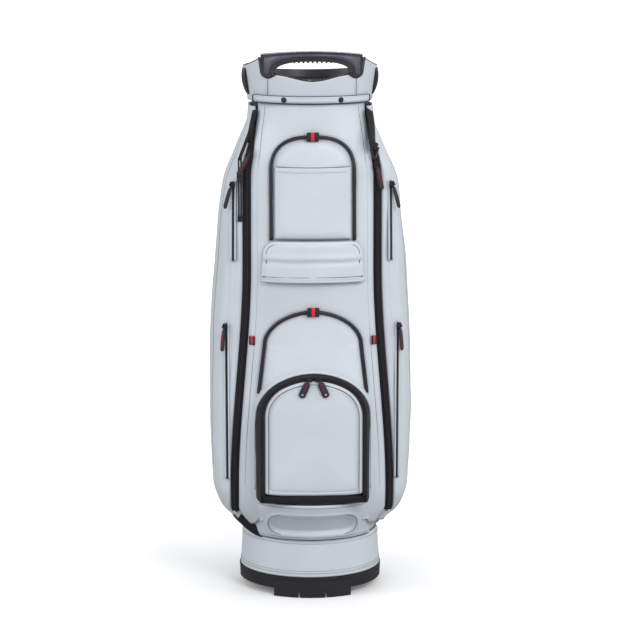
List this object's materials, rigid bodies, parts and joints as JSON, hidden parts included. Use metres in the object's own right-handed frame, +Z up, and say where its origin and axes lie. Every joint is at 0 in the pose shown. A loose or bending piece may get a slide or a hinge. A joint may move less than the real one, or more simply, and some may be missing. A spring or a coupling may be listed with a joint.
{
  "type": "golf cart bag",
  "caption": "Upright golf cart bag with a divided club top, lift handle, padded zip pockets on the front and flanks, and a wide rubber foot for standing or for a trolley cradle.",
  "frame": {"origin": "centre of the foot on the ground", "axes": "+Z up; the pockets and the lift handle face -Y; the bag's own left is -X as seen from the front"},
  "size_m": [0.342, 0.3196, 0.915],
  "materials": {
    "leatherette": "fine grain, semi-matt",
    "rubber": "matt",
    "moulded_plastic": "fine texture",
    "puller": "matt, with a red centre line",
    "metal": "satin",
    "black_cloth": "woven",
    "red_ribbon": "woven ribbon with black edges"
  },
  "bodies": {
    "bag": {"foot": "rubber", "base_cup": "moulded_plastic", "base_screws": "metal", "base_band": "leatherette", "base_neck": "leatherette", "main_tube": "moulded_plastic", "spine_stays": "metal", "club_dividers": "black_cloth", "divider_top": "moulded_plastic", "collar_moulding": "moulded_plastic", "collar_cover": "leatherette", "collar_belt": "leatherette", "hood_snaps": "moulded_plastic", "handle_moulding": "moulded_plastic", "handle_grip": "rubber", "handle_screws": "metal", "side_grips": "moulded_plastic", "front_cover": "leatherette", "side_pocket_left": "leatherette", "side_pocket_right": "leatherette", "back_panel": "leatherette", "upper_pocket": "leatherette", "slip_panel": "leatherette", "arch_pipings": "black_cloth", "flap_pouch": "leatherette", "ball_pocket": "leatherette", "ribbon_tabs": "red_ribbon", "zip_gusset": "black_cloth", "arch_zip_outer": "black_cloth", "boot": "leatherette", "boot_oval": "leatherette", "long_zips": "black_cloth", "side_zips": "black_cloth", "accessory_webbing": "black_cloth", "bungee_cord": "black_cloth", "strap_anchors": "black_cloth", "strap_rings": "metal"},
    "pocket_panel": {"front_panel": "leatherette", "arch_zip_inner": "black_cloth"},
    "slip_flap": {"pocket_flap": "leatherette"},
    "arch_slider_left": {"arch_slider_left": "moulded_plastic"},
    "arch_pull_left": {"arch_pull_left": "puller"},
    "long_slider_left": {"long_slider_left": "moulded_plastic"},
    "long_pull_left": {"long_pull_left": "puller"},
    "upper_slider_left": {"upper_slider_left": "moulded_plastic"},
    "upper_pull_left": {"upper_pull_left": "puller"},
    "lower_slider_left": {"lower_slider_left": "moulded_plastic"},
    "lower_pull_left": {"lower_pull_left": "puller"},
    "arch_slider_right": {"arch_slider_right": "moulded_plastic"},
    "arch_pull_right": {"arch_pull_right": "puller"},
    "long_slider_right": {"long_slider_right": "moulded_plastic"},
    "long_pull_right": {"long_pull_right": "puller"},
    "upper_slider_right": {"upper_slider_right": "moulded_plastic"},
    "upper_pull_right": {"upper_pull_right": "puller"},
    "lower_slider_right": {"lower_slider_right": "moulded_plastic"},
    "lower_pull_right": {"lower_pull_right": "puller"},
    "ring": {"accessory_ring": "moulded_plastic"},
    "cord_lock": {"cord_lock": "moulded_plastic"},
    "strap": {"shoulder_strap": "black_cloth", "strap_pad": "black_cloth"}
  },
  "joints": [
    {"name": "panel_fold", "type": "hinge", "parent": "bag", "child": "pocket_panel", "pos_m": [0, -0.162, 0.184], "axis": [1, 0, 0], "range_deg": [0, 75]},
    {"name": "flap_lift", "type": "hinge", "parent": "bag", "child": "slip_flap", "pos_m": [0, -0.1345, 0.602], "axis": [-1, 0, 0], "range_deg": [0, 100]},
    {"name": "arch_slider_left_run", "type": "hinge", "parent": "pocket_panel", "child": "arch_slider_left", "pos_m": [0, -0.162, 0.267], "axis": [0, -1, 0], "range_deg": [0, 20]},
    {"name": "arch_pull_left_swing", "type": "hinge", "parent": "arch_slider_left", "child": "arch_pull_left", "pos_m": [-0.00802, -0.1663, 0.38172], "axis": [-0.9135, 0, 0.4067], "range_deg": [0, 130]},
    {"name": "long_slider_left_run", "type": "slide", "parent": "bag", "child": "long_slider_left", "axis": [-0.0246, 0, -0.9997], "range_m": [0, 0.2]},
    {"name": "long_pull_left_swing", "type": "hinge", "parent": "long_slider_left", "child": "long_pull_left", "pos_m": [-0.10337, -0.1001, 0.748], "axis": [-0.8829, 0, 0.4695], "range_deg": [0, 130]},
    {"name": "upper_slider_left_run", "type": "slide", "parent": "bag", "child": "upper_slider_left", "axis": [-0.0076, -0.0333, -0.9994], "range_m": [0, 0.11]},
    {"name": "upper_pull_left_swing", "type": "hinge", "parent": "upper_slider_left", "child": "upper_pull_left", "pos_m": [-0.13366, -0.09229, 0.695], "axis": [-0.8152, 0.4898, 0.309], "range_deg": [0, 130]},
    {"name": "lower_slider_left_run", "type": "slide", "parent": "bag", "child": "lower_slider_left", "axis": [0.0038, -0.0242, -0.9997], "range_m": [0, 0.24]},
    {"name": "lower_pull_left_swing", "type": "hinge", "parent": "lower_slider_left", "child": "lower_pull_left", "pos_m": [-0.14666, -0.09249, 0.458], "axis": [-0.8525, 0.5122, 0.1045], "range_deg": [0, 130]},
    {"name": "arch_slider_right_run", "type": "hinge", "parent": "pocket_panel", "child": "arch_slider_right", "pos_m": [0, -0.162, 0.267], "axis": [0, 1, 0], "range_deg": [0, 20]},
    {"name": "arch_pull_right_swing", "type": "hinge", "parent": "arch_slider_right", "child": "arch_pull_right", "pos_m": [0.00802, -0.1663, 0.38172], "axis": [-0.9135, 0, -0.4067], "range_deg": [0, 130]},
    {"name": "long_slider_right_run", "type": "slide", "parent": "bag", "child": "long_slider_right", "axis": [0.0135, 0, -0.9999], "range_m": [0, 0.2]},
    {"name": "long_pull_right_swing", "type": "hinge", "parent": "long_slider_right", "child": "long_pull_right", "pos_m": [0.1064, -0.1001, 0.728], "axis": [-0.9781, 0, -0.2079], "range_deg": [0, 130]},
    {"name": "upper_slider_right_run", "type": "slide", "parent": "bag", "child": "upper_slider_right", "axis": [0.0076, -0.0333, -0.9994], "range_m": [0, 0.11]},
    {"name": "upper_pull_right_swing", "type": "hinge", "parent": "upper_slider_right", "child": "upper_pull_right", "pos_m": [0.13366, -0.09229, 0.695], "axis": [-0.8152, -0.4898, -0.309], "range_deg": [0, 130]},
    {"name": "lower_slider_right_run", "type": "slide", "parent": "bag", "child": "lower_slider_right", "axis": [-0.0038, -0.0242, -0.9997], "range_m": [0, 0.24]},
    {"name": "lower_pull_right_swing", "type": "hinge", "parent": "lower_slider_right", "child": "lower_pull_right", "pos_m": [0.14666, -0.09249, 0.458], "axis": [-0.8525, -0.5122, -0.1045], "range_deg": [0, 130]},
    {"name": "ring_swing", "type": "hinge", "parent": "bag", "child": "ring", "pos_m": [0.1026, -0.0986, 0.756], "axis": [-0.6428, -0.766, 0], "range_deg": [0, 110]},
    {"name": "cord_lock_run", "type": "slide", "parent": "bag", "child": "cord_lock", "axis": [0, 0, -1], "range_m": [0, 0.05]},
    {"name": "strap_swing", "type": "hinge", "parent": "bag", "child": "strap", "pos_m": [-0.058, 0.113, 0.112], "axis": [0, 0, 1], "range_deg": [-18, 18]}
  ]
}
